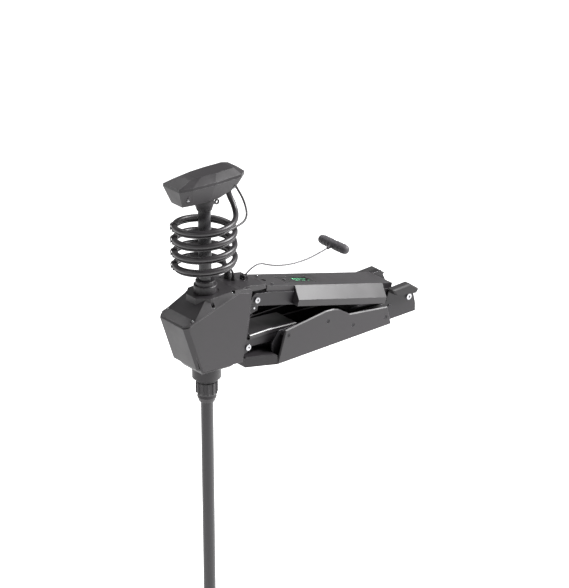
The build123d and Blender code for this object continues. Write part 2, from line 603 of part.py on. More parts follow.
# ---- Steering gears: 12-tooth pinion on the motor shaft ----
with BuildPart() as steering_pinion:
    with BuildSketch(Plane.XY.offset(153)):
        with Locations((PINION_X, 0)):
            Circle(9.4)
        with Locations((PINION_X, 0)):
            with PolarLocations(9.0, 12, start_angle=15):
                Trapezoid(4.6, 4.4, 68, align=(Align.CENTER, Align.MIN), rotation=-90)
        with Locations((PINION_X, 0)):
            Circle(3.05, mode=Mode.SUBTRACT)
    extrude(amount=16)
steering_pinion.part.label = "steering_pinion"
export_step(steering_pinion.part, "parts/steering_pinion.step")

# ---- Steering gears: 36-tooth ring gear on the sleeve ----
with BuildPart() as ring_gear:
    with BuildSketch(Plane.XY.offset(155)):
        with Locations((SHAFT_X, 0)):
            Circle(33.4)
        with Locations((SHAFT_X, 0)):
            with PolarLocations(33.0, 36, start_angle=0):
                Trapezoid(4.2, 4.4, 70, align=(Align.CENTER, Align.MIN), rotation=-90)
        with Locations((SHAFT_X, 0)):
            Circle(SLEEVE_R, mode=Mode.SUBTRACT)
    extrude(amount=12)
ring_gear.part.label = "ring_gear"
export_step(ring_gear.part, "parts/ring_gear.step")

# ---- Housing: control board on edge beside the sleeve ----
with BuildPart() as control_board:
    with Locations((-362, -52, 105)):
        Box(74, 1.6, 70)
    with Locations((-362, -54.6, 80), (-362, -54.6, 130)):
        Box(10, 5.8, 6)
    with Locations((-375, -49, 120), (-345, -49, 95)):
        Box(20, 4.4, 18)
    with Locations((-345, -48, 125)):
        Cylinder(6, 6.4, rotation=(90, 0, 0))
control_board.part.label = "control_board"
export_step(control_board.part, "parts/control_board.step")

# ---- Housing: glands where the two cables of the coil enter the tail ----
GLAND_THICK = (-302.0, 28.0)
GLAND_THIN = (-299.0, 6.0)
with BuildPart() as cable_glands:
    with Locations((GLAND_THICK[0], GLAND_THICK[1], 240)):
        Cylinder(5.4, 18)
    with Locations((GLAND_THICK[0], GLAND_THICK[1], 246.5)):
        Cylinder(10.5, 6)
    with Locations((GLAND_THIN[0], GLAND_THIN[1], 240)):
        Cylinder(5.4, 18)
    with Locations((GLAND_THIN[0], GLAND_THIN[1], 246)):
        Cylinder(6.5, 5)
cable_glands.part.label = "cable_glands"
export_step(cable_glands.part, "parts/cable_glands.step")

# ---- Sleeve: steered tube that holds the shaft, with its lower flange ----
with BuildPart() as drive_sleeve:
    with Locations((SHAFT_X, 0, 121.5)):
        Cylinder(SLEEVE_R, 283)
    with Locations((SHAFT_X, 0, -15.5)):
        Cylinder(31, 8)
    with Locations((SHAFT_X, 0, -42)):
        Cylinder(22, 46)
    with Locations((SHAFT_X, 0, 100)):
        Cylinder(20.5, 500, mode=Mode.SUBTRACT)
    with Locations((SHAFT_X, 0, -50)):
        Box(60, 2, 32, mode=Mode.SUBTRACT)
        Box(2, 60, 32, mode=Mode.SUBTRACT)
drive_sleeve.part.label = "drive_sleeve"
export_step(drive_sleeve.part, "parts/drive_sleeve.step")

# ---- Sleeve: guide bushings between sleeve and shaft ----
with BuildPart() as shaft_bushings:
    with Locations((SHAFT_X, 0, 245), (SHAFT_X, 0, -15)):
        Cylinder(20.5, 34)
        Cylinder(SHAFT_R + 0.06, 34, mode=Mode.SUBTRACT)
shaft_bushings.part.label = "shaft_bushings"
export_step(shaft_bushings.part, "parts/shaft_bushings.step")

# ---- Sleeve: stepped collar on top of the housing, with a wiper lip on the shaft ----
with BuildPart() as top_collar:
    with Locations((SHAFT_X, 0, 253)):
        Cylinder(32, 22)
    with Locations((SHAFT_X, 0, 270)):
        Cylinder(27, 12)
    chamfer(top_collar.edges().filter_by(GeomType.CIRCLE).sort_by(Axis.Z)[-1:], 1.5)
    chamfer([e for e in top_collar.edges() if abs(e.center().Z - 264) < 0.1 and e.length > 190], 1.5)
    with Locations((SHAFT_X, 0, 243)):
        Cylinder(SLEEVE_R, 40, mode=Mode.SUBTRACT)
    with Locations((SHAFT_X, 0, 270)):
        Cylinder(SHAFT_R + 0.35, 40, mode=Mode.SUBTRACT)
top_collar.part.label = "top_collar"
export_step(top_collar.part, "parts/top_collar.step")

# ---- Depth collar: ribbed clamp nut under the flange ----
with BuildPart() as depth_collar:
    with BuildSketch(SIDE):
        Polygon((SHAFT_X, -20), (SHAFT_X + 26, -20), (SHAFT_X + 28, -26), (SHAFT_X + 28, -56),
                (SHAFT_X + 26, -62), (SHAFT_X + 27, -70), (SHAFT_X + 22, -83.5), (SHAFT_X, -83.5), align=None)
    revolve(axis=Axis((SHAFT_X, 0, 0), (0, 0, 1)))
    with BuildSketch(Plane.XY.offset(-58)):
        with Locations((SHAFT_X, 0)):
            with PolarLocations(28, 12):
                Circle(3)
    extrude(amount=34)
    with Locations((SHAFT_X, 0, -42)):
        Cylinder(22.35, 60, mode=Mode.SUBTRACT)
    with Locations((SHAFT_X, 0, -60)):
        Cylinder(SHAFT_R + 0.4, 80, mode=Mode.SUBTRACT)
depth_collar.part.label = "depth_collar"
export_step(depth_collar.part, "parts/depth_collar.step")

# ---- Shaft: composite tube from the head down to the lower unit ----
with BuildPart() as shaft_tube:
    with Locations((SHAFT_X, 0, (512 + MOTOR_Z + 50) / 2)):
        Cylinder(SHAFT_R, 512 - MOTOR_Z - 50)
        Cylinder(SHAFT_R - SHAFT_WALL, 512 - MOTOR_Z - 50, mode=Mode.SUBTRACT)
shaft_tube.part.label = "shaft_tube"
export_step(shaft_tube.part, "parts/shaft_tube.step")

# ---- Head: lower shell with the neck that clamps the shaft ----
HEAD_PLAN = [(-108, -35), (-108, 35), (-70, 45), (0, 50), (90, 47), (111, 32), (111, -32), (90, -47), (0, -50),
             (-70, -45)]


def head_section(z, dx, sx, sy):
    """Head outline at a height, moved and scaled about the shaft axis."""
    with BuildSketch(Plane.XY.offset(z)) as outline:
        Polygon(*[(SHAFT_X + dx + x * sx, y * sy) for x, y in HEAD_PLAN], align=None)
    return outline.sketch


with BuildPart() as head_base:
    add(head_section(560, 0, 1, 1))
    add(head_section(512, -6, 0.78, 0.66))
    loft()
    with BuildSketch(SIDE):
        Polygon((SHAFT_X - 150, 500), (SHAFT_X - 95, 500), (SHAFT_X - 20, 500), (SHAFT_X + 30, 514),
                (SHAFT_X + 90, 535), (SHAFT_X + 150, 548), (SHAFT_X + 150, 480), (SHAFT_X - 150, 480), align=None)
    extrude(amount=80, both=True, mode=Mode.SUBTRACT)
    add(head_section(560.01, 0, 0.95, 0.9))
    add(head_section(525, -6, 0.75, 0.58))
    loft(mode=Mode.SUBTRACT)
    with Locations((SHAFT_X, 0, 516.5)):
        Cylinder(26, 45)
    with Locations((SHAFT_X, 0, 485.5)):
        Cone(20.5, 26, 17)
    with Locations((SHAFT_X + 80, 0, 527)):
        Cylinder(12, 22)
    with Locations((SHAFT_X + 102, 0, 545)):
        Cylinder(7, 22)
    with Locations(*[(SHAFT_X + x, side * y, 548) for x, y in ((-78, 33), (72, 37)) for side in (-1, 1)]):
        Cylinder(5, 24)
    with BuildSketch(Plane(origin=(SHAFT_X + 36, -6, 492), x_dir=(1, 0, 0), z_dir=(0, -1, 0))):
        Circle(7.5)
        with Locations((-9, 0)):
            Rectangle(14, 7)
        Circle(4, mode=Mode.SUBTRACT)
    extrude(amount=4)
    with Locations((SHAFT_X, 0, 490)):
        Cylinder(SHAFT_R, 44, mode=Mode.SUBTRACT)
    with Locations((SHAFT_X, 0, 520)):
        Cylinder(SHAFT_R - SHAFT_WALL, 60, mode=Mode.SUBTRACT)
    with Locations((SHAFT_X + 80, 0, 530)):
        Cylinder(CABLE_D / 2, 60, mode=Mode.SUBTRACT)
    with Locations((SHAFT_X + 102, 0, 540)):
        Cylinder(THIN_D / 2, 60, mode=Mode.SUBTRACT)
    with Locations(*[(SHAFT_X + x, side * y, 550) for x, y in ((-78, 33), (72, 37)) for side in (-1, 1)]):
        Cylinder(2.1, 60, mode=Mode.SUBTRACT)
    with Locations(*[(SHAFT_X + x, side * y, 517) for x, y in ((-78, 33), (72, 37)) for side in (-1, 1)]):
        Cylinder(4.6, 30, mode=Mode.SUBTRACT)
    with BuildSketch(Plane.XY.offset(560)):
        Rectangle(2000, 400)
    extrude(amount=40, mode=Mode.SUBTRACT)
head_base.part.label = "head_base"
export_step(head_base.part, "parts/head_base.step")

# ---- Head: faceted upper shell ----
with BuildPart() as head_top:
    add(head_section(560, 0, 1, 1))
    add(head_section(568, 0, 1, 0.98))
    loft()
    add(head_section(568, 0, 1, 0.98))
    add(head_section(585, 22, 0.62, 0.5))
    loft()
    with BuildSketch(SIDE):
        Polygon((SHAFT_X - 150, 640), (SHAFT_X - 150, 570), (SHAFT_X - 40, 583), (SHAFT_X + 80, 583),
                (SHAFT_X + 150, 574), (SHAFT_X + 150, 640), align=None)
    extrude(amount=80, both=True, mode=Mode.SUBTRACT)
    add(head_section(559.9, 0, 0.95, 0.92))
    add(head_section(566, 0, 0.95, 0.9))
    loft(mode=Mode.SUBTRACT)
    add(head_section(565.9, 0, 0.94, 0.9))
    add(head_section(578.5, 20, 0.6, 0.5))
    loft(mode=Mode.SUBTRACT)
    with Locations(*[(SHAFT_X + x, side * y, 564.5) for x, y in ((-78, 33), (72, 37)) for side in (-1, 1)]):
        Cylinder(5, 9)
    with Locations(*[(SHAFT_X + x, side * y, 562) for x, y in ((-78, 33), (72, 37)) for side in (-1, 1)]):
        Cylinder(2.1, 10, mode=Mode.SUBTRACT)
head_top.part.label = "head_top"
export_step(head_top.part, "parts/head_top.step")

# ---- Head: screws from below through both shells ----
with BuildPart() as head_screws:
    with Locations(*[(SHAFT_X + x, side * y, 548.5) for x, y in ((-78, 33), (72, 37)) for side in (-1, 1)]):
        Cylinder(2.0, 35)
    with Locations(*[(SHAFT_X + x, side * y, 530.8) for x, y in ((-78, 33), (72, 37)) for side in (-1, 1)]):
        Cylinder(4.2, 2.4)
head_screws.part.label = "head_screws"
export_step(head_screws.part, "parts/head_screws.step")

# ---- Head: control and compass board ----
with BuildPart() as head_board:
    with Locations((SHAFT_X - 5, 0, 562)):
        Box(120, 52, 1.6)
    with Locations((SHAFT_X - 40, 10, 565), (SHAFT_X + 20, -12, 565), (SHAFT_X + 30, 14, 565)):
        Box(18, 16, 4.4)
    with Locations((SHAFT_X - 5, 0, 550.6), (SHAFT_X - 55, 0, 550.6)):
        Cylinder(4, 21.2)
    with Locations((SHAFT_X - 5, 0, 540)):
        Box(12, 8, 8)
head_board.part.label = "head_board"
export_step(head_board.part, "parts/head_board.step")

# ---- Lower unit: cast motor body with the socket for the shaft and the fin below ----
MOTOR_FRONT = SHAFT_X - 110
MOTOR_REAR = SHAFT_X + 155
with BuildPart() as motor_body:
    with Locations(((MOTOR_FRONT + MOTOR_REAR) / 2, 0, MOTOR_Z)):
        Cylinder(MOTOR_R, MOTOR_REAR - MOTOR_FRONT, rotation=(0, 90, 0))
    with Locations((SHAFT_X, 0, MOTOR_Z + 62)):
        Cone(30, 23, 64)
    with BuildSketch(SIDE):
        Polygon((SHAFT_X - 40, MOTOR_Z - 20), (SHAFT_X + 90, MOTOR_Z - 20), (SHAFT_X + 96, MOTOR_Z - 150),
                (SHAFT_X + 62, MOTOR_Z - 165), (SHAFT_X + 20, MOTOR_Z - 100), align=None)
    extrude(amount=4, both=True)
    with Locations((SHAFT_X, 0, MOTOR_Z + 80)):
        Cylinder(SHAFT_R, 60, mode=Mode.SUBTRACT)
    with Locations((SHAFT_X, 0, MOTOR_Z + 50)):
        Cylinder(SHAFT_R - SHAFT_WALL, 60, mode=Mode.SUBTRACT)
    with Locations(((MOTOR_FRONT + MOTOR_REAR) / 2, 0, MOTOR_Z)):
        Cylinder(MOTOR_R - 4, MOTOR_REAR - MOTOR_FRONT + 2, rotation=(0, 90, 0), mode=Mode.SUBTRACT)
motor_body.part.label = "motor_body"
export_step(motor_body.part, "parts/motor_body.step")

# ---- Lower unit: nose cone that holds the sonar transducer ----
with BuildPart() as nose_cone:
    with BuildSketch(Plane(origin=(MOTOR_FRONT, 0, MOTOR_Z), x_dir=(-1, 0, 0), z_dir=(0, -1, 0))):
        with BuildLine():
            Line((0, 0), (85, 0))
            Spline((85, 0), (55, 33), (0, MOTOR_R), tangents=((0, 1), (-1, 0.02)))
            Line((0, MOTOR_R), (0, 0))
        make_face()
    revolve(axis=Axis((MOTOR_FRONT, 0, MOTOR_Z), (1, 0, 0)))
    with Locations((MOTOR_FRONT + 6, 0, MOTOR_Z)):
        Cylinder(MOTOR_R - 4.0, 12, rotation=(0, 90, 0))
    with Locations((MOTOR_FRONT - 10, 0, MOTOR_Z)):
        Cylinder(32, 50, rotation=(0, 90, 0), mode=Mode.SUBTRACT)
nose_cone.part.label = "nose_cone"
export_step(nose_cone.part, "parts/nose_cone.step")

with BuildPart() as sonar_transducer:
    with Locations((MOTOR_FRONT - 14, 0, MOTOR_Z - 8)):
        Cylinder(20, 30)
sonar_transducer.part.label = "sonar_transducer"
export_step(sonar_transducer.part, "parts/sonar_transducer.step")

# ---- Lower unit: rear end bell with the shaft seal, and the magnets ----
with BuildPart() as motor_end_bell:
    with Locations((MOTOR_REAR + 8, 0, MOTOR_Z)):
        Cone(MOTOR_R, 34, 16, rotation=(0, 90, 0))
    with Locations((MOTOR_REAR - 6, 0, MOTOR_Z)):
        Cylinder(MOTOR_R - 4.0, 12, rotation=(0, 90, 0))
    with Locations((MOTOR_REAR - 4, 0, MOTOR_Z)):
        Cylinder(34, 12, rotation=(0, 90, 0), mode=Mode.SUBTRACT)
    with Locations((MOTOR_REAR, 0, MOTOR_Z)):
        Cylinder(7.05, 80, rotation=(0, 90, 0), mode=Mode.SUBTRACT)
motor_end_bell.part.label = "motor_end_bell"
export_step(motor_end_bell.part, "parts/motor_end_bell.step")

with BuildPart() as stator_magnets:
    with Locations((SHAFT_X + 25, 0, MOTOR_Z)):
        Cylinder(MOTOR_R - 4, 110, rotation=(0, 90, 0))
        Cylinder(MOTOR_R - 12, 110, rotation=(0, 90, 0), mode=Mode.SUBTRACT)
stator_magnets.part.label = "stator_magnets"
export_step(stator_magnets.part, "parts/stator_magnets.step")

# ---- Propeller body: rotor with its shaft and staked drive pin, propeller and nut ----
with BuildPart() as rotor:
    with Locations((SHAFT_X + 25, 0, MOTOR_Z)):
        Cylinder(MOTOR_R - 13.5, 104, rotation=(0, 90, 0))
    with Locations((SHAFT_X + 107, 0, MOTOR_Z)):
        Cylinder(7.0, 278, rotation=(0, 90, 0))
    with Locations((MOTOR_REAR + 30, 0, MOTOR_Z)):
        Cylinder(2.5, 36, rotation=(90, 0, 0))
rotor.part.label = "rotor"
export_step(rotor.part, "parts/rotor.step")

HUB_FRONT = MOTOR_REAR + 18
with BuildPart() as propeller:
    with Locations((HUB_FRONT + 30, 0, MOTOR_Z)):
        Cylinder(30, 60, rotation=(0, 90, 0))
    for turn in (90, 210, 330):
        blade = Plane(origin=(HUB_FRONT + 30, 0, MOTOR_Z), x_dir=(1, 0, 0),
                      z_dir=(0, cos(radians(turn)), sin(radians(turn))))
        with BuildSketch(blade.offset(20)):
            Ellipse(27, 5, rotation=50)
        with BuildSketch(blade.offset(80)):
            Ellipse(40, 3.6, rotation=62)
        with BuildSketch(blade.offset(PROP_R - 6)):
            Ellipse(22, 1.6, rotation=70)
        loft()
    with Locations((HUB_FRONT + 30, 0, MOTOR_Z)):
        Cylinder(7.0, 80, rotation=(0, 90, 0), mode=Mode.SUBTRACT)
    with Locations((MOTOR_REAR + 30, 0, MOTOR_Z)):
        Cylinder(2.5, 36, rotation=(90, 0, 0), mode=Mode.SUBTRACT)
propeller.part.label = "propeller"
export_step(propeller.part, "parts/propeller.step")

with BuildPart() as prop_nut:
    with Locations((HUB_FRONT + 67, 0, MOTOR_Z)):
        Cone(12, 8, 14, rotation=(0, 90, 0))
        Cylinder(7.0, 14, rotation=(0, 90, 0), mode=Mode.SUBTRACT)
prop_nut.part.label = "prop_nut"
export_step(prop_nut.part, "parts/prop_nut.step")

# ---- Coil of the two cables round the shaft, as the outer shape of its lower and upper halves ----
for name, low, high in (("coil_lower", COIL_BOTTOM, COIL_MID - 0.2), ("coil_upper", COIL_MID + 0.2, COIL_TOP)):
    with BuildPart() as coil:
        with Locations((SHAFT_X, 0, (low + high) / 2)):
            Cylinder(COIL_R + CABLE_D / 2, high - low)
            Cylinder(COIL_R - CABLE_D / 2, high - low, mode=Mode.SUBTRACT)
    coil.part.label = name
    export_step(coil.part, "parts/" + name + ".step")

# ---- Coil: clips that hold the thin cable to the thick one ----
for name, places in (("coil_clips_lower", ((145, 359), (145, 322), (-10, 343), (-10, 369))),
                     ("coil_clips_upper", ((145, 432), (145, 396), (-10, 416), (-10, 442)))):
    with BuildPart() as coil_clips:
        for turn, height in places:
            radial = Plane(origin=(SHAFT_X, 0, height), x_dir=(cos(radians(turn)), sin(radians(turn)), 0),
                           z_dir=(0, 0, 1))
            with BuildSketch(radial.offset(-8)):
                with Locations((COIL_R + 8, 0)):
                    Rectangle(7, 14)
            extrude(amount=16)
        with Locations((SHAFT_X, 0, (COIL_BOTTOM + COIL_TOP) / 2)):
            Cylinder(COIL_R + CABLE_D / 2, 300, mode=Mode.SUBTRACT)
    coil_clips.part.label = name
    export_step(coil_clips.part, "parts/" + name + ".step")


# ---- Leads of the coil: a run of each cable down to its gland and up to the head ----
def lead(points, diameter, radius):
    """Closed tube along a filleted route."""
    with BuildPart() as tube:
        with BuildLine() as route:
            FilletPolyline(*points, radius=radius)
        with BuildSketch(Plane(origin=route.wire() @ 0, z_dir=route.wire() % 0)):
            Circle(diameter / 2)
        sweep(path=route.wire())
    expected = pi * diameter ** 2 / 4 * route.wire().length
    print(f"tube of diameter {diameter} mm, bends of radius {radius} mm: length {route.wire().length:.1f} mm, "
          f"volume {tube.part.volume:.0f} mm3, section x length {expected:.0f} mm3")
    return tube.part


THICK_DOWN = [(-302, 28, 249.5), (-302, 28, 265), (-321, 22.6, 290), (-321, 22.6, COIL_BOTTOM)]
THIN_DOWN = [(-299, 6, 249), (-299, 6, 264), (-318, 5.7, 290), (-318, 5.7, COIL_BOTTOM)]
THICK_UP = [(-320, 0, 516), (-318, -2, 500), (-312, -13, 477), (-323, -28, 464), (-323, -28, COIL_TOP)]
THIN_UP = [(-298, 0, 534), (-289, -3, 508), (-280, -14, 478), (-284, -34, 450), (-304.7, -55, 440),
           (-322.2, -44.9, 440)]
for name, points, diameter, radius in (("lead_down_thick", THICK_DOWN, CABLE_D, 18.0),
                                       ("lead_down_thin", THIN_DOWN, THIN_D, 18.0),
                                       ("lead_up_thick", THICK_UP, CABLE_D, 9.0),
                                       ("lead_up_thin", THIN_UP, THIN_D, 8.0)):
    tube = lead(points, diameter, radius)
    tube.label = name
    export_step(tube, "parts/" + name + ".step")

# ---- Pull cord: a swivelling guide ball, the cord and its handle ----
with BuildPart() as cord_guide:
    with Locations((GUIDE[0], 0, GUIDE[1])):
        Sphere(5.8)
        Cylinder(2.0, 20, rotation=(90, 0, 0))
    with BuildSketch(Plane(origin=(GUIDE[0] + 3.6, 0, GUIDE[1] + 3.2), z_dir=(37.5, 0, 28.5))):
        Circle(4)
    extrude(amount=60, mode=Mode.SUBTRACT)
cord_guide.part.label = "cord_guide"
export_step(cord_guide.part, "parts/cord_guide.step")

CORD_D = 4.5
CORD_START = (GUIDE[0] + 3.6, 0, GUIDE[1] + 3.2)
CORD_ROUTE = [CORD_START, (CORD_START[0] + 37.5, 0, CORD_START[2] + 28.5), (-172, 0, 252), (-112, 0, 237.5),
              (-50, 0, 235), (2, 0, 243), (29, 0, 249)]
pull_cord = lead(CORD_ROUTE, CORD_D, 32.0)
pull_cord.label = "pull_cord"
export_step(pull_cord, "parts/pull_cord.step")

HANDLE = (52.0, 254.1)
HANDLE_AXIS = Plane(origin=(29, 0, 249), z_dir=(27, 0, 6))
with BuildPart() as pull_handle:
    with Locations((HANDLE[0], 0, HANDLE[1])):
        Cylinder(13, 94, rotation=(90, 0, 0))
    with Locations((HANDLE[0], 47, HANDLE[1]), (HANDLE[0], -47, HANDLE[1])):
        Sphere(13)
    with Locations(*[(HANDLE[0], y, HANDLE[1]) for y in (-39, -26, -13, 13, 26, 39)]):
        Cylinder(14, 5, rotation=(90, 0, 0))
    with BuildSketch(HANDLE_AXIS):
        Circle(4.5)
    extrude(amount=14)
pull_handle.part.label = "pull_handle"
export_step(pull_handle.part, "parts/pull_handle.step")

# ---- Latch: hook between the bracket lugs, released by the pull cord ----
with BuildPart() as latch_hook:
    with BuildSketch(SIDE):
        Polygon((-268, 162), (-240, 164.5), (-231, 168), (-228.5, 176), (-231, 181), (-238, 173.5), (-268, 174),
                align=None)
        with Locations(LATCH_PIN):
            Circle(6)
    extrude(amount=12, both=True)
    with Locations((LATCH_PIN[0], 0, LATCH_PIN[1])):
        Cylinder(3.06, 60, rotation=(90, 0, 0), mode=Mode.SUBTRACT)
latch_hook.part.label = "latch_hook"
export_step(latch_hook.part, "parts/latch_hook.step")
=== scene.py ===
from math import cos, radians, sin, tau

import bmesh
import bpy
from mathutils import Matrix, Vector


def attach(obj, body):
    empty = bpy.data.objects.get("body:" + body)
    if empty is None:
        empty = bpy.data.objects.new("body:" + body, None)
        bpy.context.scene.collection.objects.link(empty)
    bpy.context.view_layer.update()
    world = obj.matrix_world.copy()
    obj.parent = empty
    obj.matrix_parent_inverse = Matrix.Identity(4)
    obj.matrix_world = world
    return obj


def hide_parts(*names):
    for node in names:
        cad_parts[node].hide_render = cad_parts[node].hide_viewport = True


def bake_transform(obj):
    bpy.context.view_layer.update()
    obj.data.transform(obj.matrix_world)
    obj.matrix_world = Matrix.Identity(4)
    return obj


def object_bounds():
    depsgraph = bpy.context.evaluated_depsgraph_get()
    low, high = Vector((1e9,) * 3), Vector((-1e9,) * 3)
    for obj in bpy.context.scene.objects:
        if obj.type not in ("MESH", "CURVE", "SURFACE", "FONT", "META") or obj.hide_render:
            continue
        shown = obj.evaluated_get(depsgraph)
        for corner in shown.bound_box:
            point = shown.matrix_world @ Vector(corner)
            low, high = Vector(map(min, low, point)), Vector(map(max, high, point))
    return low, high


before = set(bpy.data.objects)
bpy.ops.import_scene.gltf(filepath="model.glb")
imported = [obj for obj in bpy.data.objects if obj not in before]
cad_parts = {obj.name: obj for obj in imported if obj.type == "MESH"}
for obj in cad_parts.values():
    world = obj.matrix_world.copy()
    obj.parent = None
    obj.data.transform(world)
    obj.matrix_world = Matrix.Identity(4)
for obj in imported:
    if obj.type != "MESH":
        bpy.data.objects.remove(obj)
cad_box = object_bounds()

# ---- Camera and studio ----
# A long lens on the near front corner, looking down at the deployed motor, on a pale seamless floor.
# Large soft lights stand to the right and overhead, so the angled facets catch them and the sides stay dark.
camera_data = bpy.data.cameras.new("camera")
camera_data.lens = 149.3
camera_data.sensor_width = 36
camera_data.clip_end = 200
camera = bpy.data.objects.new("camera", camera_data)
camera.location = (-4.0354, -4.7099, 2.9048)
camera.rotation_euler = Vector((0.5826, 0.7018, -0.4099)).to_track_quat("-Z", "Y").to_euler()
bpy.context.scene.collection.objects.link(camera)
bpy.context.scene.camera = camera


def linear(code, alpha=1.0):
    """Turns an sRGB hex colour into Blender's linear values."""
    parts = [int(code[i:i + 2], 16) / 255 for i in (1, 3, 5)]
    return (*[c / 12.92 if c <= 0.04045 else ((c + 0.055) / 1.055) ** 2.4 for c in parts], alpha)


def node(tree, kind, settings=None, links=None):
    """Adds one node, with its settings, input values and input links."""
    made = tree.nodes.new(kind)
    for key, value in (settings or {}).items():
        if isinstance(key, int) or key in made.inputs:
            made.inputs[key].default_value = value
        else:
            setattr(made, key, value)
    for key, source in (links or {}).items():
        tree.links.new(source, made.inputs[key])
    return made


def new_material(name):
    """Starts an empty material and gives back it and its tree."""
    made = bpy.data.materials.new(name)
    made.use_nodes = True
    made.node_tree.nodes.clear()
    return made, made.node_tree


FLOOR_DROP = 0.004
floor_bm = bmesh.new()
bmesh.ops.create_grid(floor_bm, x_segments=1, y_segments=1, size=60)
bmesh.ops.translate(floor_bm, verts=floor_bm.verts, vec=(0, 0, cad_box[0][2] - FLOOR_DROP))
floor_mesh = bpy.data.meshes.new("floor")
floor_bm.to_mesh(floor_mesh)
floor = bpy.data.objects.new("floor", floor_mesh)
bpy.context.scene.collection.objects.link(floor)
paper, tree = new_material("white_backdrop_paper")
surface = node(tree, "ShaderNodeBsdfPrincipled", {"Base Color": linear("#f6f6f6"), "Roughness": 0.9,
                                                  "Specular IOR Level": 0.1, "Emission Strength": 0.68,
                                                  "Emission Color": linear("#ffffff")})
node(tree, "ShaderNodeOutputMaterial", links={"Surface": surface.outputs[0]})
floor_mesh.materials.append(paper)

world = bpy.data.worlds.new("studio")
world.use_nodes = True
world.node_tree.nodes["Background"].inputs["Color"].default_value = (1, 1, 1, 1)
world.node_tree.nodes["Background"].inputs["Strength"].default_value = 0.27
bpy.context.scene.world = world
bpy.context.scene.view_settings.view_transform = "Standard"
TARGET = Vector((-0.2, 0, 0.25))
for light_name, place, size, power in (("right_softbox", (2.5, -1.8, 2.9), 1.5, 460.0),
                                       ("top_softbox", (-0.4, 2.4, 5.0), 2.6, 150.0),
                                       ("left_strip", (-4.5, 0.4, 2.2), 1.2, 45.0)):
    light_data = bpy.data.lights.new(light_name, "AREA")
    light_data.size = size
    light_data.energy = power
    light = bpy.data.objects.new(light_name, light_data)
    light.location = place
    light.rotation_euler = (TARGET - Vector(place)).to_track_quat("-Z", "Y").to_euler()
    bpy.context.scene.collection.objects.link(light)

# ---- Base: channel, bow nose, side panels and pads ----
# Extruded aluminium channel bolted to the deck, with moulded nose and side panels screwed on.
# The channel is bead-blasted and black anodised.
# The mouldings are glass-filled nylon with a fine spark texture.
def finish(name, colour, second, highlight_and_wear_colour, rough=(0.4, 0.55), metallic=0.0, grain=700.0, depth=0.0002,
           patch=14.0, edge_width=0.0009, stretch=(1, 1, 1), bump=0.25):
    """Procedural finish: broad and fine colour variation, a painted highlight on the edges broken up by noise
    like rub wear, uneven roughness and fine relief.
    """
    made, tree = new_material(name)
    coords = node(tree, "ShaderNodeTexCoord")
    scaled = node(tree, "ShaderNodeMapping", {"Scale": stretch}, {"Vector": coords.outputs["Object"]})
    broad = node(tree, "ShaderNodeTexNoise", {"Scale": patch, "Detail": 4.0}, {"Vector": scaled.outputs[0]})
    fine = node(tree, "ShaderNodeTexNoise", {"Scale": grain, "Detail": 3.0}, {"Vector": scaled.outputs[0]})
    mixed = node(tree, "ShaderNodeMath", {"operation": "MULTIPLY_ADD", 1: 0.35},
                 {0: fine.outputs["Fac"], 2: broad.outputs["Fac"]})
    spread = node(tree, "ShaderNodeMapRange", {"From Min": 0.45, "From Max": 0.9},
                  {"Value": mixed.outputs[0]})
    tint = node(tree, "ShaderNodeMix", {"data_type": "RGBA", "A": linear(colour), "B": linear(second)},
                {"Factor": spread.outputs[0]})
    eased = node(tree, "ShaderNodeBevel", {"samples": 4, "Radius": edge_width})
    shape = node(tree, "ShaderNodeNewGeometry")
    turn = node(tree, "ShaderNodeVectorMath", {"operation": "DOT_PRODUCT"},
                {0: eased.outputs["Normal"], 1: shape.outputs["True Normal"]})
    # Edges, where the softened normal turns from the true one, get the lighter third colour: a painted
    # highlight, broken up by the noise like rub wear.
    edge_band = node(tree, "ShaderNodeMapRange", {"From Min": 0.99, "From Max": 0.8},
                  {"Value": turn.outputs["Value"]})
    highlight_and_wear_mask = node(tree, "ShaderNodeMath", {"operation": "MULTIPLY"},
                  {0: edge_band.outputs[0], 1: spread.outputs[0]})
    highlighted_and_worn = node(tree, "ShaderNodeMix", {"data_type": "RGBA", "B": linear(highlight_and_wear_colour)},
                {"A": tint.outputs["Result"], "Factor": highlight_and_wear_mask.outputs[0]})
    gloss = node(tree, "ShaderNodeMapRange", {"To Min": rough[0], "To Max": rough[1]},
                 {"Value": spread.outputs[0]})
    relief = node(tree, "ShaderNodeBump", {"Strength": bump, "Distance": depth},
                  {"Height": fine.outputs["Fac"], "Normal": eased.outputs["Normal"]})
    surface = node(tree, "ShaderNodeBsdfPrincipled", {"Metallic": metallic, "IOR": 1.45},
                   {"Base Color": highlighted_and_worn.outputs["Result"], "Roughness": gloss.outputs[0],
                    "Normal": relief.outputs["Normal"]})
    node(tree, "ShaderNodeOutputMaterial", links={"Surface": surface.outputs[0]})
    return made


def paint(material, *names):
    """Puts a material in every slot of these CAD pieces."""
    for name in names:
        for place in range(len(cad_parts[name].data.materials)):
            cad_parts[name].data.materials[place] = material


# The third colour of each finish is a painted highlight, mixed with rub wear, that goes on its edges.
anodised = finish("black_anodised_aluminium", "#1d1b1d", "#262427", "#8a898c", rough=(0.38, 0.5),
                  metallic=0.2, grain=1400.0, depth=0.00008)
nylon = finish("glass_filled_nylon", "#201e20", "#292629", "#6d6b6e", rough=(0.4, 0.52), grain=900.0,
               depth=0.00015)
stainless = finish("stainless_steel", "#b4b4b6", "#98989b", "#e0e0e2", rough=(0.2, 0.34), metallic=1.0,
                   grain=500.0, depth=0.00006, stretch=(1, 6, 1), edge_width=0.0004)
black_oxide = finish("black_oxide_steel", "#2a292b", "#3b3a3c", "#9a9a9c", rough=(0.28, 0.42), metallic=0.8,
                     grain=800.0, depth=0.00006, edge_width=0.0005)
rubber = finish("moulded_rubber", "#1c1b1c", "#262526", "#3a393a", rough=(0.6, 0.78), grain=500.0,
                depth=0.0003)
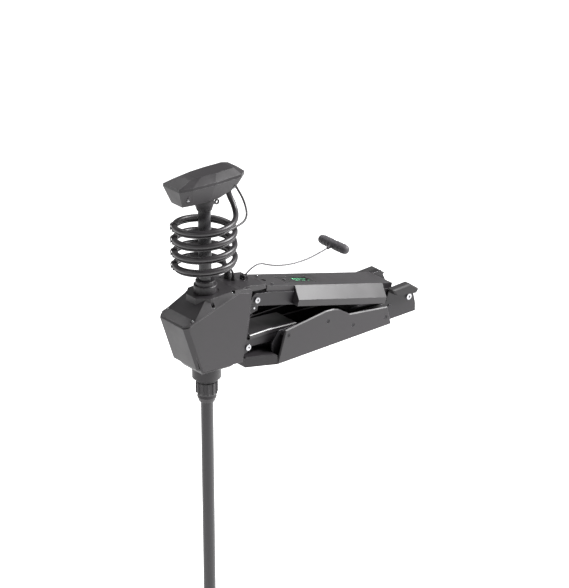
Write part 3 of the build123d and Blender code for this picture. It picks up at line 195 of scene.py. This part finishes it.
acetal = finish("acetal_bushing_plastic", "#2b2a2c", "#393739", "#6b6a6c", rough=(0.3, 0.42), grain=600.0)
spring_steel = finish("spring_steel_wire", "#6f6e70", "#8b8a8d", "#b5b5b8", rough=(0.22, 0.35), metallic=1.0)
paint(anodised, "base_channel")
paint(nylon, "base_nose", "side_panels")
paint(rubber, "ramp_pads")
paint(stainless, "pivot_pins_a")
paint(black_oxide, "link_axle_d", "panel_screws")
paint(spring_steel, "assist_spring")

# ---- Arm: frame, bushings and long cover ----
# Two machined aluminium side plates, black anodised, with acetal bushings pressed in their ends.
# The cover over them is one satin moulding whose broad chamfers catch the light.
satin = finish("satin_painted_nylon", "#232123", "#2c2a2c", "#7b797c", rough=(0.3, 0.42), grain=1100.0,
               depth=0.0001)
paint(anodised, "arm_frame")
paint(acetal, "arm_bushings")
paint(satin, "arm_cover")
paint(stainless, "arm_cover_screws", "latch_keeper")

# ---- Display: bezel, window, lit bars and power button ----
# A smoked acrylic window over a small circuit board whose green bars show the battery and the thrust.
# The bezel snaps in the cover; the button beside it is soft silicone.
gloss_black = finish("gloss_bezel_plastic", "#141314", "#1b1a1b", "#3c3b3d", rough=(0.12, 0.22), grain=1500.0,
                     depth=0.00003, bump=0.1)
silicone = finish("silicone_rubber", "#3a393b", "#454446", "#5c5b5e", rough=(0.55, 0.7), grain=900.0)
laminate = finish("circuit_board_laminate", "#123a22", "#1b4a2c", "#7d8b5a", rough=(0.35, 0.5), grain=300.0)
window, tree = new_material("smoked_acrylic")
coords = node(tree, "ShaderNodeTexCoord")
smears = node(tree, "ShaderNodeTexNoise", {"Scale": 120.0, "Detail": 4.0},
              {"Vector": coords.outputs["Object"]})
tint = node(tree, "ShaderNodeMix", {"data_type": "RGBA", "A": linear("#8b9590"), "B": linear("#a3aca7")},
            {"Factor": smears.outputs["Fac"]})
gloss = node(tree, "ShaderNodeMapRange", {"To Min": 0.02, "To Max": 0.09}, {"Value": smears.outputs["Fac"]})
relief = node(tree, "ShaderNodeBump", {"Strength": 0.02, "Distance": 0.0001},
              {"Height": smears.outputs["Fac"]})
surface = node(tree, "ShaderNodeBsdfPrincipled", {"Transmission Weight": 1.0, "IOR": 1.1},
               {"Base Color": tint.outputs["Result"], "Roughness": gloss.outputs[0],
                "Normal": relief.outputs["Normal"]})
node(tree, "ShaderNodeOutputMaterial", links={"Surface": surface.outputs[0]})
paint(gloss_black, "display_bezel")
paint(window, "display_window")
paint(laminate, "display_board")
paint(silicone, "power_button")

ARM_START = Vector((0.2817, 0, 0.0515))
ARM_ALONG = Vector((-0.96711, 0, 0.25436))
ARM_UP = Vector((0.25436, 0, 0.96711))
LIT_HEIGHT = 0.0358
LIT_THICK = 0.0005
lit_bm = bmesh.new()
for along, across, long, wide in ((0.394, 0.006, 0.006, 0.012), (0.384, 0.006, 0.006, 0.012),
                                  (0.374, 0.006, 0.006, 0.012), (0.364, 0.007, 0.003, 0.009),
                                  (0.356, 0.003, 0.009, 0.002), (0.356, 0.007, 0.009, 0.002),
                                  (0.350, 0.005, 0.002, 0.006), (0.3465, -0.006, 0.005, 0.005),
                                  (0.387, -0.006, 0.018, 0.0022), (0.365, -0.006, 0.010, 0.0022)):
    bar = bmesh.ops.create_cube(lit_bm, size=1)["verts"]
    bmesh.ops.scale(lit_bm, vec=(long, wide, LIT_THICK), verts=bar)
    bmesh.ops.translate(lit_bm, vec=(along, across, LIT_HEIGHT), verts=bar)
bmesh.ops.bevel(lit_bm, geom=lit_bm.edges[:], offset=0.0002, segments=2, profile=0.5, affect="EDGES",
                material=-1)
arm_slope = Matrix((ARM_ALONG, (0, 1, 0), ARM_UP)).transposed().to_4x4()
bmesh.ops.transform(lit_bm, verts=lit_bm.verts, matrix=Matrix.Translation(ARM_START) @ arm_slope)
bmesh.ops.remove_doubles(lit_bm, verts=lit_bm.verts, dist=1e-6)
bmesh.ops.recalc_face_normals(lit_bm, faces=lit_bm.faces)
lit_mesh = bpy.data.meshes.new("display_lit_bars")
lit_bm.to_mesh(lit_mesh)
lit_bars = bpy.data.objects.new("display_lit_bars", lit_mesh)
bpy.context.scene.collection.objects.link(lit_bars)
glow, tree = new_material("green_light_diffuser")
coords = node(tree, "ShaderNodeTexCoord")
cells = node(tree, "ShaderNodeTexNoise", {"Scale": 220.0, "Detail": 2.0},
             {"Vector": coords.outputs["Object"]})
tint = node(tree, "ShaderNodeMix", {"data_type": "RGBA", "A": linear("#3f9a6a"), "B": linear("#8fe0b4")},
            {"Factor": cells.outputs["Fac"]})
gloss = node(tree, "ShaderNodeMapRange", {"To Min": 0.3, "To Max": 0.5}, {"Value": cells.outputs["Fac"]})
relief = node(tree, "ShaderNodeBump", {"Strength": 0.1, "Distance": 0.0001}, {"Height": cells.outputs["Fac"]})
surface = node(tree, "ShaderNodeBsdfPrincipled", {"Emission Strength": 1.6},
               {"Base Color": tint.outputs["Result"], "Emission Color": tint.outputs["Result"],
                "Roughness": gloss.outputs[0], "Normal": relief.outputs["Normal"]})
node(tree, "ShaderNodeOutputMaterial", links={"Surface": surface.outputs[0]})
lit_mesh.materials.append(glow)
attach(lit_bars, "arm")

# ---- Lower link ----
# Two aluminium bars joined by cross ties, with a moulded trim cover over their front ends.
# The cover is clipped on; its long edges are chamfered and carry a painted highlight, broken up like light
# rub marks.
paint(anodised, "link_bars")
paint(acetal, "link_bushings")
paint(satin, "link_cover")

# ---- Housing: shell, cover, bracket and what is inside ----
# The steering unit's shell and cover are thick glass-filled nylon mouldings, joined along a sloping seam.
# Six stainless screws sit in notches of the cover; an anodised bracket carries the pivots.
paint(nylon, "housing_body")
paint(satin, "housing_cover")
paint(anodised, "hinge_bracket")
paint(stainless, "housing_screws", "bracket_bolts")
paint(acetal, "sleeve_bearings")
cast = finish("cast_aluminium_painted", "#2b2a2c", "#363437", "#8c8b8e", rough=(0.45, 0.6), metallic=0.3,
              grain=260.0, depth=0.0004)
paint(cast, "steering_motor")
paint(laminate, "control_board")
paint(rubber, "cable_glands")
paint(black_oxide, "latch_hook", "cord_guide")

# ---- Steering gears, sleeve and collars ----
# A steel pinion turns the acetal ring gear on the anodised sleeve; collars above and below are moulded nylon.
# The depth collar is a ribbed clamp nut that is loosened by hand.
paint(black_oxide, "steering_pinion")
paint(acetal, "ring_gear", "shaft_bushings")
paint(anodised, "drive_sleeve")
paint(nylon, "top_collar", "depth_collar")

# ---- Shaft and head ----
# The shaft is a pultruded composite tube with a gelcoat skin, its fibres running lengthwise.
# The head is two moulded shells screwed together round a circuit board.
pultruded = finish("pultruded_composite", "#1f1e20", "#2b292c", "#4a494b", rough=(0.22, 0.34), grain=900.0,
                   depth=0.00008, stretch=(1, 1, 0.04), patch=60.0)
paint(pultruded, "shaft_tube")
paint(nylon, "head_base")
paint(satin, "head_top")
paint(stainless, "head_screws")
paint(laminate, "head_board")

# ---- Lower unit ----
# A cast aluminium motor pod with a moulded sonar nose and a three-blade propeller held by a nut.
# The castings are powder coated; the rotor and magnets are hidden inside.
ferrite = finish("sintered_ferrite", "#2d2c2e", "#3a393b", "#55545a", rough=(0.5, 0.7), grain=400.0)
blade_nylon = finish("propeller_nylon", "#1d1c1e", "#282629", "#4b4a4d", rough=(0.34, 0.48), grain=700.0)
paint(cast, "motor_body", "motor_end_bell")
paint(nylon, "nose_cone")
paint(rubber, "sonar_transducer")
paint(ferrite, "stator_magnets")
paint(black_oxide, "rotor")
paint(blade_nylon, "propeller")
paint(stainless, "prop_nut")

# ---- Coiled cables ----
# The thick power cable and the thin sonar cable wind nearly four times round the shaft, the thin one below.
# Extruded rubber jackets, set in the coil by heat; each is two pieces that meet beside a clip half-way up.
SHAFT_X = -0.4
COIL_R = 0.082
PITCH = 0.0367
COIL_START = -20.0
COIL_TOP_Z = 0.4522
THICK_D = 0.0155
THIN_D = 0.006
THIN_DROP = 0.0112


def coil_point(turn, drop=0.0, grow=0.0):
    """Point of the coil after a number of turns down from its top."""
    angle = radians(COIL_START - 360 * turn)
    radius = COIL_R + grow
    return (SHAFT_X + radius * cos(angle), radius * sin(angle), COIL_TOP_Z - PITCH * turn - drop)


def nurbs_line(name, points):
    """A smooth NURBS curve with these control points."""
    curve = bpy.data.curves.new(name, "CURVE")
    curve.dimensions = "3D"
    spline = curve.splines.new("NURBS")
    spline.points.add(len(points) - 1)
    for place, point in zip(spline.points, points):
        place.co = (*point, 1)
    spline.order_u = 3
    spline.use_endpoint_u = True
    spline.resolution_u = 6
    return bpy.data.objects.new(name, curve)


def line_points(name, points):
    """Points read from the bevel-less NURBS curve."""
    guide = nurbs_line(name + "_line", points)
    bpy.context.scene.collection.objects.link(guide)
    bpy.context.view_layer.update()
    mesh = bpy.data.meshes.new_from_object(guide.evaluated_get(bpy.context.evaluated_depsgraph_get()))
    found = [tuple(v.co) for v in mesh.vertices]
    bpy.data.objects.remove(guide)
    return found


def tube(name, points, diameter):
    """Mesh tube round a NURBS curve, closed at both ends."""
    curve_object = nurbs_line(name + "_tube", points)
    curve_object.data.bevel_depth = diameter / 2
    curve_object.data.bevel_resolution = 4
    curve_object.data.use_fill_caps = True
    bpy.context.scene.collection.objects.link(curve_object)
    bpy.context.view_layer.update()
    mesh = bpy.data.meshes.new_from_object(
        curve_object.evaluated_get(bpy.context.evaluated_depsgraph_get()))
    bpy.data.objects.remove(curve_object)
    mesh.name = name
    bm = bmesh.new()
    bm.from_mesh(mesh)
    bmesh.ops.remove_doubles(bm, verts=bm.verts, dist=1e-6)
    bmesh.ops.recalc_face_normals(bm, faces=bm.faces)
    for face in bm.faces:
        face.smooth = len(face.verts) == 4
    bm.to_mesh(mesh)
    bm.free()
    made = bpy.data.objects.new(name, mesh)
    bpy.context.scene.collection.objects.link(made)
    return made


jacket, tree = new_material("rubber_cable_jacket")
coords = node(tree, "ShaderNodeTexCoord")
grain = node(tree, "ShaderNodeTexNoise", {"Scale": 900.0, "Detail": 3.0},
             {"Vector": coords.outputs["Object"]})
patch = node(tree, "ShaderNodeTexNoise", {"Scale": 45.0, "Detail": 2.0}, {"Vector": coords.outputs["Object"]})
tint = node(tree, "ShaderNodeMix", {"data_type": "RGBA", "A": linear("#1b191b"), "B": linear("#2c292c")},
            {"Factor": patch.outputs["Fac"]})
shine = node(tree, "ShaderNodeMapRange", {"To Min": 0.34, "To Max": 0.5}, {"Value": patch.outputs["Fac"]})
bump = node(tree, "ShaderNodeBump", {"Strength": 0.12, "Distance": 0.0004}, {"Height": grain.outputs["Fac"]})
surface = node(tree, "ShaderNodeBsdfPrincipled", {"IOR": 1.5},
               {"Base Color": tint.outputs["Result"], "Roughness": shine.outputs["Result"],
                "Normal": bump.outputs["Normal"]})
node(tree, "ShaderNodeOutputMaterial", links={"Surface": surface.outputs[0]})

STEPS = 16
MID_TURN = 2.0
THICK_END_TURN = 3.9
THIN_END_TURN = 3.93
LOWER_STEPS = 31
thick_rate = (THICK_END_TURN - MID_TURN) / LOWER_STEPS
thin_rate = (THIN_END_TURN - MID_TURN) / LOWER_STEPS
thick_top = [(-0.320, 0, 0.516), (-0.3195, -0.001, 0.505), (-0.3165, -0.005, 0.491),
             (-0.3135, -0.013, 0.477), (-0.3165, -0.025, 0.4635), (-0.3255, -0.0405, 0.455)]
thick_top += [coil_point(i / STEPS) for i in range(1, int(MID_TURN * STEPS) + 1)]
thick_bottom = [coil_point(MID_TURN + thick_rate * i) for i in range(LOWER_STEPS)]
thick_bottom += [(-0.3205, 0.0225, 0.302), (-0.314, 0.029, 0.288), (-0.304, 0.0285, 0.272),
                 (-0.302, 0.028, 0.262), (-0.302, 0.028, 0.2495)]
thin_top = [(-0.298, 0, 0.534), (-0.296, -0.001, 0.522), (-0.2905, -0.003, 0.508),
            (-0.284, -0.009, 0.493), (-0.280, -0.016, 0.477), (-0.2805, -0.026, 0.461),
            (-0.286, -0.037, 0.449), (-0.298, -0.049, 0.4405), (-0.316, -0.0595, 0.4370),
            (-0.339, -0.0675, 0.4365)]
thin_top += [coil_point(i / STEPS, THIN_DROP) for i in range(2, int(MID_TURN * STEPS) + 1)]
thin_bottom = [coil_point(MID_TURN + thin_rate * i, THIN_DROP) for i in range(LOWER_STEPS - 1)]
thin_bottom += [(-0.3165, 0.006, 0.291), (-0.308, 0.010, 0.278), (-0.300, 0.007, 0.266),
                (-0.299, 0.006, 0.249)]

for name, points, diameter, bodies, exit_point, hidden in (
        ("thick_cable_upper", thick_top, THICK_D, ("sleeve", "shaft"), thick_top[0],
         ("coil_upper", "lead_up_thick")),
        ("thick_cable_lower", thick_bottom, THICK_D, ("housing", "sleeve"), thick_bottom[-1],
         ("coil_lower", "lead_down_thick")),
        ("thin_cable_upper", thin_top, THIN_D, ("sleeve", "shaft"), thin_top[0], ("lead_up_thin",)),
        ("thin_cable_lower", thin_bottom, THIN_D, ("housing", "sleeve"), thin_bottom[-1],
         ("lead_down_thin",))):
    cable = tube(name, points, diameter)
    cable.data.materials.append(jacket)
    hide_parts(*hidden)
    path = line_points(name, points)
    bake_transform(cable)

# ---- Coil clips ----
# Snap-on nylon clips, each with a large ring on the power cable and a small one on the sonar cable below it.
# They sit nearly opposite each other, two to a turn, and follow the cables' own points.
CLIP_TURNS = {"coil_clips_upper": (0.5417, 0.9722, 1.5417, 1.9722),
              "coil_clips_lower": (2.5417, 2.9722, 3.5417)}
CLIP_GAP = 0.0001
CLIP_HALF = 0.006
THICK_RING_R = 0.0102
THIN_RING_R = 0.0052
CLIP_WEB = 0.0085
for name, turns in CLIP_TURNS.items():
    bm = bmesh.new()
    for turn in turns:
        along = Vector(coil_point(turn + 0.005)) - Vector(coil_point(turn - 0.005))
        turning = along.to_track_quat("Z", "Y").to_matrix().to_4x4()
        for drop, inner, outer in ((0, THICK_D / 2 + CLIP_GAP, THICK_RING_R),
                                   (THIN_DROP, THIN_D / 2 + CLIP_GAP, THIN_RING_R)):
            profile = [(inner, -CLIP_HALF), (outer - 0.0008, -CLIP_HALF), (outer, -CLIP_HALF + 0.0012),
                       (outer, CLIP_HALF - 0.0012), (outer - 0.0008, CLIP_HALF), (inner, CLIP_HALF)]
            start = [bm.verts.new((r, 0, h)) for r, h in profile]
            edges = [bm.edges.new((start[i], start[(i + 1) % len(start)])) for i in range(len(start))]
            bmesh.ops.spin(bm, geom=start + edges, cent=(0, 0, 0), axis=(0, 0, 1), angle=tau, steps=28,
                           use_merge=True)
            ring = [v for v in bm.verts if v.tag is False]
            bmesh.ops.transform(bm, verts=ring, matrix=Matrix.Translation(coil_point(turn, drop)) @ turning)
            for v in ring:
                v.tag = True
        web = bmesh.ops.create_cube(bm, size=1)["verts"]
        bmesh.ops.scale(bm, vec=(0.0022, 0.003, 0.010), verts=web)
        web_place = Matrix.Translation(coil_point(turn, CLIP_WEB, CLIP_WEB))
        bmesh.ops.transform(bm, verts=web, matrix=web_place @ turning)
        for v in web:
            v.tag = True
    bmesh.ops.remove_doubles(bm, verts=bm.verts, dist=1e-6)
    bmesh.ops.recalc_face_normals(bm, faces=bm.faces)
    mesh = bpy.data.meshes.new(name + "_rings")
    bm.to_mesh(mesh)
    bm.free()
    rings = bpy.data.objects.new(name + "_rings", mesh)
    bpy.context.scene.collection.objects.link(rings)
    mesh.materials.append(nylon)
    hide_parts(name)
    if name == "coil_clips_upper":
        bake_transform(rings)
    else:
        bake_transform(rings)

# ---- Strain reliefs ----
# Ribbed, tapered rubber sleeves that keep each cable from kinking where it leaves the housing and the head.
# Moulded on the cable and pushed into the glands.
for name, place, up, radius, body in (
        ("strain_relief_thick_low", (-0.302, 0.028, 0.2490), 1, THICK_D / 2, "housing"),
        ("strain_relief_thin_low", (-0.299, 0.006, 0.2482), 1, THIN_D / 2, "housing"),
        ("strain_relief_thick_high", (-0.320, 0, 0.5165), -1, THICK_D / 2, "shaft"),
        ("strain_relief_thin_high", (-0.298, 0, 0.5345), -1, THIN_D / 2, "shaft")):
    profile = [(radius + 0.0002, 0.0), (radius + 0.0030, 0.0)]
    for rib in range(4):
        step, wide = 0.0008 + rib * 0.0024, radius + 0.0028 - rib * 0.0005
        profile += [(wide, step), (wide, step + 0.0012), (wide - 0.0009, step + 0.0014),
                    (wide - 0.0009, step + 0.0022)]
    profile += [(radius + 0.0010, 0.0112), (radius + 0.0002, 0.0116)]
    bm = bmesh.new()
    start = [bm.verts.new((r, 0, up * h)) for r, h in profile]
    edges = [bm.edges.new((start[i], start[(i + 1) % len(start)])) for i in range(len(start))]
    bmesh.ops.spin(bm, geom=start + edges, cent=(0, 0, 0), axis=(0, 0, 1), angle=tau, steps=36,
                   use_merge=True)
    bmesh.ops.translate(bm, vec=place, verts=bm.verts)
    bmesh.ops.remove_doubles(bm, verts=bm.verts, dist=1e-6)
    bmesh.ops.recalc_face_normals(bm, faces=bm.faces)
    mesh = bpy.data.meshes.new(name)
    bm.to_mesh(mesh)
    bm.free()
    relief_sleeve = bpy.data.objects.new(name, mesh)
    bpy.context.scene.collection.objects.link(relief_sleeve)
    mesh.materials.append(rubber)
    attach(relief_sleeve, body)

# ---- Pull cord ----
# Vinyl-coated wire rope that runs from the guide ball on the tail to the handle.
# It is stiff enough to stand in an arc, and both ends are held in their pieces.
CORD_D = 0.0045
cord_points = [(-0.2644, 0, 0.2497), (-0.2269, 0, 0.2782), (-0.172, 0, 0.252), (-0.112, 0, 0.2375),
               (-0.050, 0, 0.235), (0.002, 0, 0.243), (0.029, 0, 0.249)]
pull_cord = tube("pull_cord_line", cord_points, CORD_D)
vinyl, tree = new_material("vinyl_coated_wire_rope")
coords = node(tree, "ShaderNodeTexCoord")
lay_wave = node(tree, "ShaderNodeTexWave", {"Scale": 120.0, "Distortion": 0.6, "bands_direction": "DIAGONAL"},
                {"Vector": coords.outputs["Object"]})
tint = node(tree, "ShaderNodeMix", {"data_type": "RGBA", "A": linear("#3a383b"), "B": linear("#555356")},
            {"Factor": lay_wave.outputs["Fac"]})
bump = node(tree, "ShaderNodeBump", {"Strength": 0.3, "Distance": 0.0004},
            {"Height": lay_wave.outputs["Fac"]})
surface = node(tree, "ShaderNodeBsdfPrincipled", {"Roughness": 0.35, "IOR": 1.5},
               {"Base Color": tint.outputs["Result"], "Normal": bump.outputs["Normal"]})
node(tree, "ShaderNodeOutputMaterial", links={"Surface": surface.outputs[0]})
pull_cord.data.materials.append(vinyl)
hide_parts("pull_cord")
cord_path = line_points("pull_cord_line", cord_points)
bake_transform(pull_cord)

# ---- Pull handle ----
# A soft rubber grip moulded round the end of the cord, with ridges for wet hands.
# Its surface has a fine matt grain, and a painted highlight, broken up like wear, lies along the ridges.
grip = finish("soft_grip_rubber", "#373538", "#434145", "#59575b", rough=(0.5, 0.66), grain=650.0,
              depth=0.0003)
paint(grip, "pull_handle")
